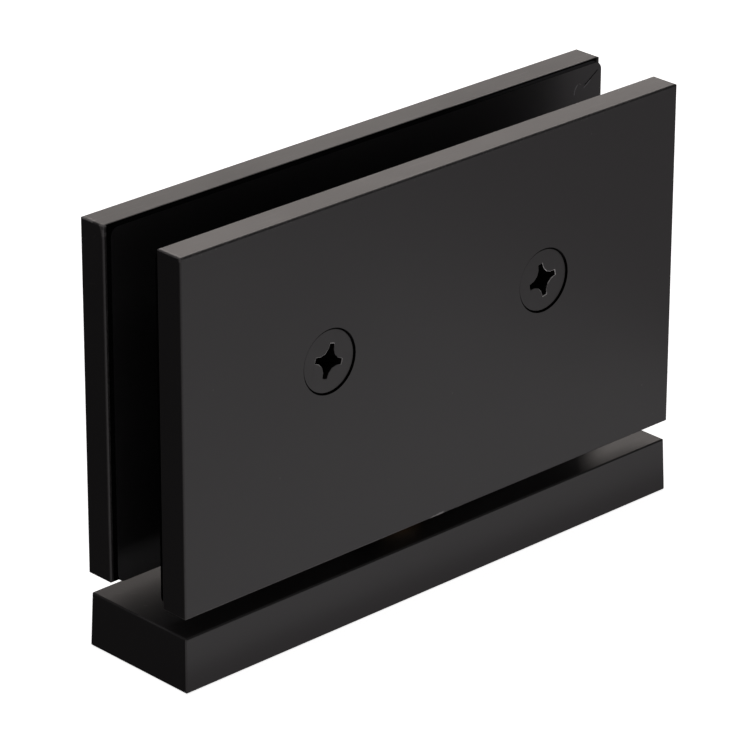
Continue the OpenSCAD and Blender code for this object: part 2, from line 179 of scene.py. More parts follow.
# Marks on the coat and the rubber: start and end in millimetres from a corner, width, bow and strength
FRONT_PLATE_MARKS = (
    ((-10, 0, 0.15), (64, 0, 0.15), 0.4, 0, 0.3),
    ((61.5, 0, 0.05), (65.5, 0, 0.35), 0.7, 0, 0.9),
    ((68.5, 0, 0.1), (70.5, 0, 0.1), 0.3, 0, 0.5),
    ((126.85, 0, 55.3), (126.85, 0, 56.0), 0.4, 0, 0.8),
)
# Painted highlights along the front plate's top edge and along the top edge of its left end
FRONT_PLATE_TOP_HIGHLIGHTS = (((-20, 0.3, 0), (135, 0.3, 0), 0.5, 0, 0.3),)
FRONT_PLATE_END_HIGHLIGHTS = (((0, -3, -0.1), (0, 9, -0.1), 0.4, 0, 0.4),)
# Painted highlights along the back plate's top front edge
BACK_PLATE_TOP_HIGHLIGHTS = (
    ((1, 0.25, 0), (26, 0.25, 0), 0.3, 0, 0.2),
    ((84, 0.3, 0), (127, 0.3, 0), 0.5, 0, 0.9),
)
# On the back plate's left end: a painted highlight along its top edge in the first two marks, and small
# marks and scratches in the rest
BACK_PLATE_END_HIGHLIGHTS_AND_MARKS = (
    ((0, 7.2, -0.12), (0, 2.5, -0.12), 0.34, 0, 0.9),
    ((0, 1.3, -0.15), (0, -0.6, -0.15), 0.4, 0, 0.7),
    ((0, 0.75, 0.2), (0, 0.05, -2.4), 0.7, 0, 0.35),
    ((0, 0.2, 12), (0, 0.2, -71), 0.5, 0, 0.12),
    ((0, 2.0, -2.2), (0, 2.9, -3.0), 0.16, 0.15, 0.08),
    ((0, 4.6, -3.5), (0, 5.5, -4.1), 0.16, 0.15, 0.08),
    ((0, 5.3, -13.2), (0, 1.95, -12.0), 0.16, 0.4, 0.06),
)
BASE_TOP_MARKS = (
    ((3.65, 15.8, 0), (4.25, 15.3, 0), 0.18, 0, 0.3),
    ((5.0, 21.3, 0), (6.4, 20.4, 0), 0.3, 0, 0.08),
    ((3.0, 23.1, 0), (4.4, 22.3, 0), 0.3, 0, 0.08),
)
BASE_END_MARKS = (((0, 14.6, -0.1), (0, 4.3, -0.1), 0.2, 0, 0.12),)
BASE_FRONT_MARKS = (((83.2, 0, -10.9), (84.4, 0, -10.9), 0.3, 0, 0.3),)
GASKET_CUTS = (((-1.5, 0, -1.75), (-5.7, 0, -4.4), 0.3, 0, 1.0),)
# Painted highlights beside the gasket's cut
GASKET_PAINTED_HIGHLIGHTS = (
    ((-3.6, 0, -3.45), (-5.7, 0, -4.8), 0.24, 0, 0.7),
    ((-7.1, 0, -3.5), (-8.2, 0, -5.8), 0.3, -0.3, 1.0),
    ((-7.0, 0, -3.45), (-6.2, 0, -3.95), 0.24, 0, 0.4),
)

# Soft lights: name, place, point that they face, width, height, power and colour
SOFTBOXES = (
    ("Back Softbox", (0.65, 1.08, 0.62), OBJECT_CENTRE, 1.1, 0.8, 4.4, (1.0, 0.92, 0.87)),
    ("Top Softbox", (0.0, 0.0, 1.2), OBJECT_CENTRE, 0.8, 0.8, 2.0, WHITE),
    ("Table Card", (0.0, -0.14, 0.001), (0.0, -0.14, 1.0), 0.22, 0.24, 0.05, WHITE),
)

# Black cards: the way to a card, the cosines at which its soft edge starts and ends, and the light it leaves
CARDS = (
    ((-0.63, 0.66, -0.41), 0.25, 0.9, 0.1),
    ((0.63, -0.41, 0.66), 0.7, 0.85, 0.3),
    ((0.63, 0.41, -0.66), 0.6, 0.85, 0.05),
)

# Light of the surroundings: from the table, from the ceiling and added from straight below
TABLE_LIGHT = 0.445
CEILING_LIGHT = 0.27
LIGHT_FROM_BELOW = 0.7
SURROUNDINGS_COLOUR = (1.0, 0.94, 0.965)

# How far up a direction looks where table turns to ceiling, and where the light from below ends
TABLE_TO_CEILING = (-0.25, 0.1)
END_OF_BELOW = (-0.9, -0.55)

# Gap that keeps the floor's face clear of the base bar's, and the light that the floor gives off
FLOOR_GAP = 0.0001
FLOOR_GLOW = 0.85

# Width of the camera's sensor in millimetres
SENSOR_WIDTH = 36.0


def colour_setting(name, description, colour):
    """A colour for the sidebar."""
    return FloatVectorProperty(
        name=name, description=description, subtype="COLOR", default=colour, min=0, max=1
    )


def length_setting(name, description, length, least):
    """A length for the sidebar."""
    return FloatProperty(name=name, description=description, default=length, min=least, unit="LENGTH")


class CoatSettings(PropertyGroup):
    """Sizes and colours of the black coat"""

    colour: colour_setting(
        "Coat Colour",
        "Colour of the black coat on the plates, the bar and the block",
        (0.0125, 0.012, 0.012),
    )
    # Also the colour of the painted highlights along the plates' edges
    worn_and_highlight_colour: colour_setting(
        "Worn And Highlight Colour",
        "Colour of the coat where handling has thinned it along the edges",
        (0.2, 0.196, 0.192),
    )
    roughness: FloatProperty(
        name="Coat Roughness",
        description="How soft the coat's reflections are",
        default=0.42,
        min=0,
        max=1,
        subtype="FACTOR",
    )
    peel_size: length_setting("Peel Size", "Size of the slow waves in the coat", 0.0022, least=0.0002)
    grain_size: length_setting("Grain Size", "Size of the coat's fine grain", 0.00035, least=0.0001)
    wear_width: length_setting("Wear Width", "Width of the worn band along an edge", 0.0005, least=0.0001)


class InnerSettings(PropertyGroup):
    """Colours of the gaskets, bushes, sleeves and metal parts"""

    rubber: colour_setting("Rubber Colour", "Colour of the gaskets", (0.004, 0.004, 0.0042))
    acetal: colour_setting("Acetal Colour", "Colour of the bushes and screw sleeves", (0.78, 0.765, 0.7))
    steel: colour_setting(
        "Steel Colour", "Colour of the pin, the washers and the plain screws", (0.5, 0.5, 0.49)
    )
    spring_steel: colour_setting("Spring Steel Colour", "Colour of the springs' wire", (0.42, 0.415, 0.4))
    bronze: colour_setting("Bronze Colour", "Colour of the thrust washer", (0.62, 0.38, 0.16))
    oxide: colour_setting(
        "Oxide Colour", "Colour of the blackened screws and plugs", (0.014, 0.0135, 0.0135)
    )


class StudioSettings(PropertyGroup):
    """Camera, floor and light"""

    focal_length: FloatProperty(
        name="Focal Length",
        description="Focal length of the camera in millimetres",
        default=224.03,
        min=20,
    )
    camera_place: FloatVectorProperty(
        name="Camera Place",
        description="Where the camera stands",
        subtype="TRANSLATION",
        unit="LENGTH",
        default=(-0.55767, -0.58104, 0.40082),
    )
    camera_target: FloatVectorProperty(
        name="Camera Target",
        description="Point that the camera looks at",
        subtype="TRANSLATION",
        unit="LENGTH",
        default=(-0.00314, 0.00037, 0.04076),
    )
    camera_roll: FloatProperty(
        name="Camera Roll",
        description="Turn of the camera about its line of sight",
        subtype="ANGLE",
        default=math.radians(0.201),
    )
    floor_size: length_setting("Floor Size", "Length of the floor's side", 12, least=1)
    floor_colour: colour_setting("Floor Colour", "Colour of the plain floor", (0.9, 0.9, 0.9))


def hinge_settings():
    return bpy.context.scene.door_hinge


def add_node(tree, kind, inputs=None, **values):
    """A new node with its properties set, and its inputs set or linked."""
    made = tree.nodes.new(kind)
    for name, value in values.items():
        setattr(made, name, value)
    for key, value in (inputs or {}).items():
        if isinstance(value, bpy.types.NodeSocket):
            tree.links.new(value, made.inputs[key])
        else:
            made.inputs[key].default_value = value
    return made


def calc(tree, operation, *values):
    """Result of a Math node."""
    return add_node(tree, "ShaderNodeMath", dict(enumerate(values)), operation=operation).outputs[0]


def vector_calc(tree, operation, *values):
    """Vector result of a Vector Math node."""
    made = add_node(tree, "ShaderNodeVectorMath", dict(enumerate(values)), operation=operation)
    return made.outputs["Vector"]


def dot(tree, first, second):
    """How far one vector reaches along another."""
    made = add_node(tree, "ShaderNodeVectorMath", {0: first, 1: second}, operation="DOT_PRODUCT")
    return made.outputs["Value"]


def parts_of(tree, vector):
    """X, Y and Z of a vector."""
    return add_node(tree, "ShaderNodeSeparateXYZ", {0: vector}).outputs


def vector_of(tree, *parts):
    """A vector of two or three parts."""
    return add_node(tree, "ShaderNodeCombineXYZ", dict(enumerate(parts))).outputs[0]


def ramp(tree, value, low, high, to_low=0.0, to_high=1.0):
    """Value carried smoothly from one range to another."""
    inputs = {"Value": value, "From Min": low, "From Max": high, "To Min": to_low, "To Max": to_high}
    return add_node(tree, "ShaderNodeMapRange", inputs, interpolation_type="SMOOTHSTEP").outputs["Result"]


def mix_colours(tree, share, first, second):
    """Colour between two colours."""
    made = add_node(tree, "ShaderNodeMix", {0: share, 6: first, 7: second}, data_type="RGBA")
    return made.outputs[2]


def mix_values(tree, share, first, second):
    """Value between two values."""
    return add_node(tree, "ShaderNodeMix", {0: share, 2: first, 3: second}).outputs[0]


def noise(tree, place, scale, detail):
    """Grey noise with so many lumps in a metre."""
    inputs = {"Vector": place, "Scale": scale, "Detail": detail}
    return add_node(tree, "ShaderNodeTexNoise", inputs).outputs[0]


def start_group(name, inputs, outputs):
    """
    A node group that takes a place and more: its tree, its input sockets and its output node.
    Each input has its default, or None where it is a vector.
    """
    tree = bpy.data.node_groups.new(name, "ShaderNodeTree")
    for label, default in {"Vector": None, **inputs}.items():
        kind = "NodeSocketVector" if default is None else "NodeSocketFloat"
        made = tree.interface.new_socket(label, in_out="INPUT", socket_type=kind)
        if default is not None:
            made.default_value = default
    for label in outputs:
        tree.interface.new_socket(label, in_out="OUTPUT", socket_type="NodeSocketFloat")
    source = tree.nodes.new("NodeGroupInput")
    result = tree.nodes.new("NodeGroupOutput")
    return tree, source.outputs, result


def finish_group(tree, result, **outputs):
    """Links the results of a group to its output sockets."""
    for label, socket in outputs.items():
        tree.links.new(socket, result.inputs[label])
    return tree


def coat_surface_group():
    """Slow waves, fine grain and patches of a sprayed and baked coat."""
    inputs = {"Peel Size": 0.002, "Grain Size": 0.0004}
    tree, source, result = start_group("Coat Surface", inputs, ["Height", "Grain", "Patches"])
    peel_scale = calc(tree, "DIVIDE", 1.0, source["Peel Size"])
    grain_scale = calc(tree, "DIVIDE", 1.0, source["Grain Size"])
    peel = noise(tree, source["Vector"], scale=peel_scale, detail=1.0)
    grain = noise(tree, source["Vector"], scale=grain_scale, detail=1.0)
    patch_scale = calc(tree, "MULTIPLY", peel_scale, 0.05)
    patches = noise(tree, source["Vector"], scale=patch_scale, detail=3.0)
    height = mix_values(tree, 0.35, peel, grain)
    return finish_group(tree, result, Height=height, Grain=grain, Patches=patches)


def edge_band_group():
    """A mask that is 1 along the edges of a box-shaped piece and falls to 0 within a width."""
    inputs = {"Centre": None, "Half Size": None, "Width": 0.0005, "Raggedness": 0.5}
    tree, source, result = start_group("Edge Band", inputs, ["Band"])
    from_centre = vector_calc(tree, "SUBTRACT", source["Vector"], source["Centre"])
    inside = vector_calc(tree, "SUBTRACT", source["Half Size"], vector_calc(tree, "ABSOLUTE", from_centre))
    depth = parts_of(tree, inside)
    nearer = calc(tree, "MINIMUM", depth["X"], depth["Y"])
    farther = calc(tree, "MAXIMUM", depth["X"], depth["Y"])
    second = calc(tree, "MAXIMUM", nearer, calc(tree, "MINIMUM", farther, depth["Z"]))
    ragged = noise(tree, source["Vector"], scale=900.0, detail=4.0)
    spread = calc(tree, "MULTIPLY", calc(tree, "SUBTRACT", ragged, 0.5), source["Raggedness"])
    width = calc(tree, "MULTIPLY", source["Width"], calc(tree, "ADD", 1.0, spread))
    band = ramp(tree, calc(tree, "DIVIDE", second, width), 0.0, 1.0, 1.0, 0.0)
    return finish_group(tree, result, Band=band)


def hairlines_group():
    """Fine straight marks along X, such as handling leaves on a coat."""
    inputs = {"Length": 0.02, "Width": 0.0001, "Share": 0.3}
    tree, source, result = start_group("Hairlines", inputs, ["Mask"])
    part = parts_of(tree, source["Vector"])
    along = calc(tree, "DIVIDE", part["X"], source["Length"])
    across = calc(tree, "DIVIDE", part["Y"], source["Width"])
    upward = calc(tree, "DIVIDE", part["Z"], source["Width"])
    streak = noise(tree, vector_of(tree, along, across, upward), scale=1.0, detail=1.0)
    limit = calc(tree, "SUBTRACT", 1.0, calc(tree, "MULTIPLY", source["Share"], 0.5))
    mask = ramp(tree, streak, calc(tree, "SUBTRACT", limit, 0.06), limit)
    return finish_group(tree, result, Mask=mask)


def scratch_and_highlight_group():
    """One ragged line along X, which serves for scratches, cuts and painted highlights, centred on the
    origin, that may bow towards Y and fades at both ends.
    """
    inputs = {"Length": 0.003, "Width": 0.0002, "Bow": 0.0}
    tree, source, result = start_group("Scratch And Highlight", inputs, ["Mask"])
    part = parts_of(tree, source["Vector"])
    half_length = calc(tree, "MULTIPLY", source["Length"], 0.5)
    reach = calc(tree, "DIVIDE", calc(tree, "ABSOLUTE", part["X"]), half_length)
    rise = calc(tree, "SUBTRACT", 1.0, calc(tree, "MULTIPLY", reach, reach))
    bow = calc(tree, "MULTIPLY", source["Bow"], rise)
    offset = calc(tree, "ABSOLUTE", calc(tree, "SUBTRACT", part["Y"], bow))
    ragged = calc(tree, "SUBTRACT", noise(tree, source["Vector"], scale=2600.0, detail=3.0), 0.5)
    across = calc(tree, "ADD", calc(tree, "DIVIDE", offset, source["Width"]), ragged)
    line = ramp(tree, across, 0.2, 0.6, 1.0, 0.0)
    ends = ramp(tree, reach, 0.7, 1.0, 1.0, 0.0)
    on_face = ramp(tree, calc(tree, "ABSOLUTE", part["Z"]), 0.0006, 0.001, 1.0, 0.0)
    mask = calc(tree, "MULTIPLY", calc(tree, "MULTIPLY", line, ends), on_face)
    return finish_group(tree, result, Mask=mask)


def turned_rings_group():
    """Fine rings that a lathe leaves round the Z axis, on faces and on cylinders alike."""
    tree, source, result = start_group("Turned Rings", {"Pitch": 0.0002}, ["Height"])
    part = parts_of(tree, source["Vector"])
    flat = vector_of(tree, part["X"], part["Y"])
    radius = add_node(tree, "ShaderNodeVectorMath", {0: flat}, operation="LENGTH").outputs["Value"]
    scale = calc(tree, "DIVIDE", 1.0, source["Pitch"])
    outward = calc(tree, "MULTIPLY", radius, scale)
    upward = calc(tree, "MULTIPLY", part["Z"], scale)
    place = vector_of(tree, outward, upward)
    return finish_group(tree, result, Height=noise(tree, place, scale=1.0, detail=2.0))


def specks_group():
    """Scattered small specks, such as dust or pits."""
    tree, source, result = start_group("Specks", {"Spacing": 0.002, "Size": 0.1}, ["Mask"])
    scale = calc(tree, "DIVIDE", 1.0, source["Spacing"])
    cells = add_node(tree, "ShaderNodeTexVoronoi", {"Vector": source["Vector"], "Scale": scale})
    chance = add_node(tree, "ShaderNodeSeparateColor", {0: cells.outputs["Color"]}).outputs[0]
    size = calc(tree, "MULTIPLY", source["Size"], calc(tree, "POWER", chance, 3.0))
    near = calc(tree, "LESS_THAN", cells.outputs["Distance"], size)
    return finish_group(tree, result, Mask=near)


GROUP_MAKERS = {
    "Coat Surface": coat_surface_group,
    "Edge Band": edge_band_group,
    "Hairlines": hairlines_group,
    "Scratch And Highlight": scratch_and_highlight_group,
    "Turned Rings": turned_rings_group,
    "Specks": specks_group,
}


def add_group(tree, name, **inputs):
    """Places a shared group in a material and returns its outputs. The group is made on first use."""
    group = bpy.data.node_groups.get(name) or GROUP_MAKERS[name]()
    inputs = {label.replace("_", " "): value for label, value in inputs.items()}
    return add_node(tree, "ShaderNodeGroup", inputs, node_tree=group).outputs


def start_material(name, **settings):
    """A material with one Principled shader: the material, its tree, shader and Object coordinates."""
    made = bpy.data.materials.new(name)
    made.use_nodes = True
    tree = made.node_tree
    shader = tree.nodes["Principled BSDF"]
    for label, value in settings.items():
        shader.inputs[label.replace("_", " ")].default_value = value
    place = tree.nodes.new("ShaderNodeTexCoord").outputs["Object"]
    return made, tree, shader, place


def finish_shader(tree, shader, colour, rough, height=None, depth=0.0):
    """Feeds a colour and a roughness to the shader and, where it is given, a height and its depth."""
    tree.links.new(colour, shader.inputs["Base Color"])
    tree.links.new(rough, shader.inputs["Roughness"])
    if height is not None:
        bump = add_node(tree, "ShaderNodeBump", {"Height": height, "Distance": depth, "Strength": 1.0})
        tree.links.new(bump.outputs["Normal"], shader.inputs["Normal"])


def moved(tree, place, centre, turn):
    """Object coordinates measured from a point and turned with a piece."""
    return add_node(
        tree,
        "ShaderNodeMapping",
        {"Vector": place, "Location": centre, "Rotation": turn},
        vector_type="TEXTURE",
    ).outputs[0]


def rgba(colour, factor=1.0):
    return (colour[0] * factor, colour[1] * factor, colour[2] * factor, 1.0)


def shades(tree, share, colour, dark, light):
    """A colour that goes from one of its shades to another."""
    return mix_colours(tree, share, rgba(colour, dark), rgba(colour, light))


def add_marks(tree, place, corner, outward, marks):
    """
    Greatest mask of several line marks on a face that looks outward: scratches, cuts and painted highlights.
    A mark is its start and end in millimetres from a corner, its width, its bow and its strength.
    """
    found = 0.0
    for start, end, width, bow, strength in marks:
        start = Vector(start) * MILLIMETRE
        end = Vector(end) * MILLIMETRE
        along = (end - start).normalized()
        turn = Matrix((along, outward.cross(along), outward)).transposed().to_euler()
        mask = add_group(
            tree,
            "Scratch And Highlight",
            Vector=moved(tree, place, corner + (start + end) / 2, turn),
            Length=(end - start).length,
            Width=width * MILLIMETRE,
            Bow=bow * MILLIMETRE,
        )["Mask"]
        found = calc(tree, "MAXIMUM", found, calc(tree, "MULTIPLY", mask, strength))
    return found


def node_centre(node):
    low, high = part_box(node)
    return (low + high) / 2


def label_of(node):
    """A node's name in words, for its material."""
    return node.replace("_", " ").title()


def gap_shade(tree, place):
    """Mask of painted shade on a plate's inner side, in the gap between the plates where the gasket sits."""
    part = parts_of(tree, place)
    depth = calc(tree, "SUBTRACT", calc(tree, "ABSOLUTE", part["Y"]), PLATE_LOW.y)
    inner_side = ramp(tree, depth, *GAP_SHADE_DEPTHS, 1.0, 0.0)
    margin = calc(tree, "SUBTRACT", calc(tree, "ABSOLUTE", part["X"]), GASKET_HIGH.x)
    between_ends = ramp(tree, margin, -GAP_SHADE_EDGE, 0.0, 1.0, 0.0)
    return calc(tree, "MULTIPLY", inner_side, between_ends)


def countersink_shade(tree, place):
    """Mask of painted shade in the front plate's countersinks, round the clamp screws' heads."""
    part = parts_of(tree, place)
    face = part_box("front_plate")[0].y
    below = ramp(tree, part["Y"], *(face + depth for depth in COUNTERSINK_SHADE_DEPTHS))
    found = 0.0
    for node in ("clamp_screw_left", "clamp_screw_right"):
        centre = node_centre(node)
        across = calc(tree, "SUBTRACT", part["X"], centre.x)
        up = calc(tree, "SUBTRACT", part["Z"], centre.z)
        square = calc(tree, "ADD", calc(tree, "MULTIPLY", across, across), calc(tree, "MULTIPLY", up, up))
        inside = calc(tree, "LESS_THAN", square, COUNTERSINK_REACH ** 2)
        found = calc(tree, "MAXIMUM", found, inside)
    return calc(tree, "MULTIPLY", found, below)


def front_painted_shade(tree, place):
    """Mask of all painted shade on the front plate."""
    return calc(tree, "MAXIMUM", gap_shade(tree, place), countersink_shade(tree, place))


def coat_material(name, node, wear=1.0, marked_faces=(), painted_shade=None, gloss=0.0, dull_left=0.0):
    """
    Satin black coat of a box-shaped CAD node, worn a little along its edges and marked on some faces.
    The function given for the shade gives the mask where painted shade blackens the coat. dull_left roughens
    the top's left half.
    """
    coat = hinge_settings().coat
    low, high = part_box(node)
    made, tree, shader, place = start_material(name, IOR=1.5)
    surface = add_group(
        tree, "Coat Surface", Vector=place, Peel_Size=coat.peel_size, Grain_Size=coat.grain_size
    )
    band = add_group(
        tree,
        "Edge Band",
        Vector=place,
        Centre=(low + high) / 2,
        Half_Size=(high - low) / 2,
        Width=coat.wear_width,
    )["Band"]
    lines = add_group(tree, "Hairlines", Vector=place, Length=0.012, Width=0.00016, Share=0.52)["Mask"]
    specks = add_group(tree, "Specks", Vector=place, Spacing=0.004, Size=0.06)["Mask"]
    worn = calc(tree, "MULTIPLY", band, EDGE_WEAR * wear)
    light = calc(tree, "MAXIMUM", worn, calc(tree, "MULTIPLY", specks, SPECK_STRENGTH))
    # Marks on some faces: scratches, and on the plates also painted highlights along their edges
    for corner, outward, marks in marked_faces:
        light = calc(tree, "MAXIMUM", light, add_marks(tree, place, corner, outward, marks))
    patchy = shades(tree, surface["Patches"], coat.colour, 0.85, 1.15)
    colour = mix_colours(tree, light, patchy, rgba(coat.worn_and_highlight_colour))
    if painted_shade:
        # Painted shade: where the mask is set, the coat turns near black and metallic, so its reflection
        # goes dark too
        shaded_mask = painted_shade(tree, place)
        colour = mix_colours(tree, shaded_mask, colour, rgba(coat.colour, SHADED_SHARE))
        tree.links.new(shaded_mask, shader.inputs["Metallic"])
    middle = coat.roughness - gloss
    rough = ramp(tree, surface["Patches"], *PATCH_RANGE, middle - PATCH_GLOSS, middle + PATCH_GLOSS)
    rough = calc(tree, "SUBTRACT", rough, calc(tree, "MULTIPLY", lines, HAIRLINE_GLOSS))
    if dull_left:
        part = parts_of(tree, place)
        left_part = ramp(tree, part["X"], low.x, (low.x + high.x) / 2, dull_left, 0.0)
        top_face = ramp(tree, part["Z"], high.z - 0.0006, high.z - 0.0002)
        rough = calc(tree, "ADD", rough, calc(tree, "MULTIPLY", left_part, top_face))
    finish_shader(tree, shader, colour, rough, height=surface["Height"], depth=WAVE_DEPTH)
    return made


def dress(node, material):
    """Gives a CAD node its material."""
    NODES[node].data.materials.clear()
    NODES[node].data.materials.append(material)


def start_turned(name, centre, turn, pitch, **settings):
    """What start_material gives, with coordinates from a turned piece's centre, and the rings on it."""
    made, tree, shader, place = start_material(name, **settings)
    place = moved(tree, place, centre, turn)
    rings = add_group(tree, "Turned Rings", Vector=place, Pitch=pitch)["Height"]
    return made, tree, shader, place, rings


def turned_metal(name, colour, centre, turn=UNTURNED, roughness=0.32, pitch=0.00018):
    """Bright metal with the fine rings of a lathe."""
    made, tree, shader, place, rings = start_turned(name, centre, turn, pitch, Metallic=1.0)
    patches = noise(tree, place, scale=220.0, detail=3.0)
    colour = shades(tree, patches, colour, 0.86, 1.08)
    rough = ramp(tree, rings, *RING_RANGE, roughness - 0.06, roughness + 0.08)
    finish_shader(tree, shader, colour, rough, height=rings, depth=0.000006)
    return made


def stand_axes(node, way):
    """Axes with +Z along a node's own axis, from its inner end at the origin, and the node's length."""
    low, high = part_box(node)
    length = abs((high - low).dot(way))
    start = node_centre(node) - way * length / 2
    turn = UP.rotation_difference(way).to_matrix().to_4x4()
    return Matrix.Translation(start) @ turn, length


def boundary_at(shape, level):
    """Open edges that lie on a level."""
    return [
        edge for edge in shape.edges
        if edge.is_boundary and all(abs(vert.co.z - level) < SAME_LEVEL for vert in edge.verts)
    ]


def cut_across(shape, level, **cleared):
    """Cuts a shape at a level, and takes away the side that is to be cleared."""
    bmesh.ops.bisect_plane(
        shape,
        geom=[*shape.verts, *shape.edges, *shape.faces],
        dist=CUT_DISTANCE,
        plane_co=UP * level,
        plane_no=UP,
        **cleared,
    )


def add_thread(shape, radius, pitch, low, high):
    """Adds a right-hand thread between two levels, chamfered at its foot and running out to a plain top."""
    root = radius - THREAD_DEPTH * pitch
    foot = THREAD_FOOT * radius
    # The spin starts below the foot and ends above the top, and is cut at both
    bottom = low - 1.5 * pitch
    turns = math.ceil((high - bottom) / pitch) + 1
    # Root, flank, crest and flank: distance from the axis and share of the pitch
    outline = ((root, 0.0), (root, 0.25), (radius, 0.5625), (radius, 0.6875), (root, 1.0))
    thread = bmesh.new()
    verts = [thread.verts.new((reach, 0.0, bottom + share * pitch)) for reach, share in outline]
    edges = [thread.edges.new(pair) for pair in zip(verts, verts[1:])]
    bmesh.ops.spin(
        thread,
        geom=verts + edges,
        axis=UP,
        dvec=UP * pitch / THREAD_STEPS,
        angle=math.tau * turns,
        steps=THREAD_STEPS * turns,
    )
    bmesh.ops.remove_doubles(thread, verts=thread.verts, dist=SAME_LEVEL)
    cut_across(thread, low, clear_inner=True)
    cut_across(thread, high, clear_outer=True)
    for vert in thread.verts:
        reach = vert.co.xy.length
        fade = min(max((vert.co.z - high) / pitch + 1.0, 0.0), 1.0)
        wanted = reach + (radius - reach) * fade
        wanted = min(wanted, radius - foot + vert.co.z - low)
        vert.co.xy *= wanted / reach
    bmesh.ops.edgeloop_fill(thread, edges=boundary_at(thread, low))
    store = bpy.data.meshes.new("thread")
    thread.to_mesh(store)
    thread.free()
    shape.from_mesh(store)
    bpy.data.meshes.remove(store)


def close_thread(shape, low, high):
    """Joins the thread's plain top to what stands above it."""
    bmesh.ops.bridge_loops(shape, edges=boundary_at(shape, low) + boundary_at(shape, high))


def sink_face(shape, top, rounding, depth, draft, new_rounding):
    """Lowers a flat head's face, drafts its rim and rounds it anew. Returns the face's new level."""
    radius = max(vert.co.xy.length for vert in shape.verts)
    # Points that are nearer to both the face and the rim than this belong to the rounding
    near = 1.01 * rounding
    for vert in shape.verts:
        reach = vert.co.xy.length
        inward = radius - reach
        if vert.co.z > top - near and inward < near:
            angle = math.asin(min(max(1.0 - inward / rounding, 0.0), 1.0))
            vert.co.xy *= (radius - draft - new_rounding * (1.0 - math.sin(angle))) / reach
            vert.co.z = top - depth - new_rounding * (1.0 - math.cos(angle))
        else:
            vert.co.z = min(vert.co.z, top - depth)
    return top - depth


def recess_outline(shape, top, reach):
    """Edges between a head's face and the walls of its recess."""
    return [
        edge for edge in shape.edges
        if all(abs(vert.co.z - top) < SAME_LEVEL and vert.co.xy.length < reach for vert in edge.verts)
        and edge.calc_face_angle(0.0) > SHARP_ANGLE
    ]


def widen_wings(shape, top, reach):
    """Widens the four wings of a cross recess towards their tips."""
    waiting = list({vert for edge in recess_outline(shape, top, reach) for vert in edge.verts})
    tip = max((vert.co.xy.copy() for vert in waiting), key=lambda place: place.length)
    tips = [vert.co.xy for vert in waiting if vert.co.xy.dot(tip) > WING_TIP * tip.length_squared]
    wing = sum(tips, Vector((0.0, 0.0))).normalized()
    found = set(waiting)
    while waiting:
        vert = waiting.pop()
        for edge in vert.link_edges:
            other = edge.other_vert(vert)
            if other not in found and other.co.z < top - SAME_LEVEL:
                found.add(other)
                waiting.append(other)
    for vert in found:
        ways = (wing, wing.orthogonal(), -wing, -wing.orthogonal())
        along = max(ways, key=vert.co.xy.dot)
        share = vert.co.xy.dot(along) / tip.length
        sideways = vert.co.xy - along * vert.co.xy.dot(along)
        vert.co.xy += sideways * WING_WIDENING * max(share, 0.0) ** WING_POWER


def raise_burr(shape, top, reach):
    """Breaks the edge of a recess or socket and raises an uneven burr along it."""
    made = bmesh.ops.bevel(
        shape,
        geom=recess_outline(shape, top, reach),
        offset=RECESS_BEVEL,
        affect="EDGES",
        segments=2,
        profile=0.5,
        material=-1,
    )
    for vert in made["verts"]:
        if abs(vert.co.z - top) < SAME_LEVEL:
            vert.co.z += BURR_HEIGHT * max(noise_at(vert.co * BURR_LUMPS), 0.0)
    for face in made["faces"]:
        face.material_index = BURR


def paint_recess(shape, top, reach):
    """Marks the walls of a recess in a head, apart from the burr round its edge."""
    for face in shape.faces:
        inside = all(vert.co.xy.length < reach and vert.co.z > 0.0 for vert in face.verts)
        if inside and face.material_index != BURR and face.calc_center_median().z < top - RECESS_BEVEL:
            face.material_index = RECESS


def finish_shape(shape, name, axes, node, materials):
    """Turns a shape into a piece that stands for a CAD node."""
    bmesh.ops.recalc_face_normals(shape, faces=shape.faces)
    bmesh.ops.transform(shape, matrix=axes, verts=shape.verts)
    for face in shape.faces:
        face.smooth = True
        face.material_index = min(face.material_index, len(materials) - 1)
    for edge in shape.edges:
        edge.smooth = edge.calc_face_angle(math.pi) < SHARP_ANGLE
    mesh = bpy.data.meshes.new(name)
    shape.to_mesh(mesh)
    shape.free()
    for material in materials:
        mesh.materials.append(material)
    piece = bpy.data.objects.new(name, mesh)
    bpy.context.scene.collection.objects.link(piece)
    piece.modifiers.new("Even Faces", "WEIGHTED_NORMAL").keep_sharp = True
    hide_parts(node)
    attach(piece, BODY_OF[node])


def merged_copy(node):
    """A closed copy of a CAD node's mesh, with its flat faces joined."""
    shape = bmesh.new()
    shape.from_mesh(NODES[node].data)
    bmesh.ops.remove_doubles(shape, verts=shape.verts, dist=DOUBLE_DISTANCE)
    bmesh.ops.dissolve_limit(shape, angle_limit=FLAT_ANGLE, verts=shape.verts, edges=shape.edges)
    return shape


def threaded_screw(node, way, sizes, materials, socket=0.0, sunk=None):
    """A screw that keeps its CAD head and socket and has a true thread below a plain neck."""
    diameter, pitch, plain = sizes
    axes, length = stand_axes(node, way)
    shape = merged_copy(node)
    bmesh.ops.transform(shape, matrix=axes.inverted(), verts=shape.verts)
    neck = length - plain
    thread_top = neck - THREAD_GAP * pitch
    cut_across(shape, neck)
    shank = [
        face for face in shape.faces
        if face.calc_center_median().z < neck and max(vert.co.xy.length for vert in face.verts) > socket
    ]
    bmesh.ops.delete(shape, geom=shank, context="FACES")
    face_level = length
    reach = RECESS_REACH * max(vert.co.xy.length for vert in shape.verts)
    if sunk:
        face_level = sink_face(shape, length, *sunk)
        widen_wings(shape, face_level, reach)
    raise_burr(shape, face_level, reach)
    paint_recess(shape, face_level, reach)
    add_thread(shape, diameter / 2, pitch, 0.0, thread_top)
    close_thread(shape, thread_top, neck)
    finish_shape(shape, f"{node}_threaded", axes, node, materials)


